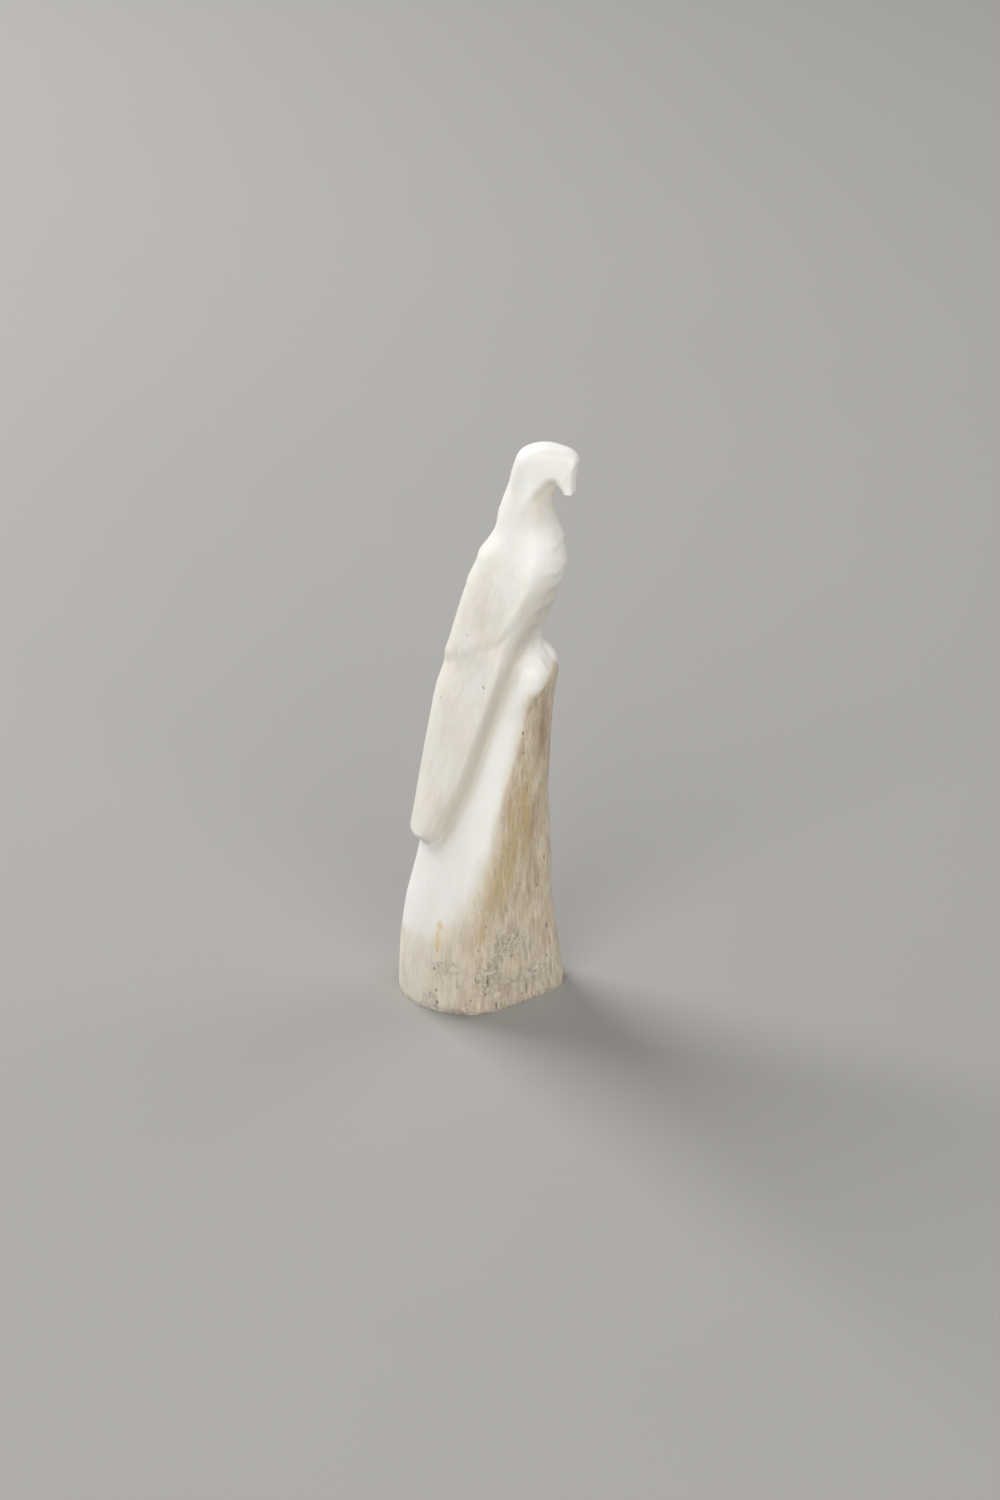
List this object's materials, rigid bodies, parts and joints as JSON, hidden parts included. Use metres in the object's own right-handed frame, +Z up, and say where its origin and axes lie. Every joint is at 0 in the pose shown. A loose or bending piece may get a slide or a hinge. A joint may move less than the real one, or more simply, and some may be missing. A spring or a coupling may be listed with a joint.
{
  "type": "eagle carving",
  "caption": "Small eagle carved in the round from an antler end, with folded wings and a long tail, perched on the uncarved stump it stands on.",
  "frame": {"origin": "middle of the sawn foot's long axis, on the surface the carving stands on", "axes": "+Z up the carving, +X the way the bird faces, +Y the bird's left side"},
  "size_m": [0.0263, 0.0194, 0.0897],
  "materials": {
    "antler": "polished off white on the bird, with brown bark left on the front of the stump"
  },
  "bodies": {
    "root": {"eagle": "antler"}
  },
  "joints": []
}
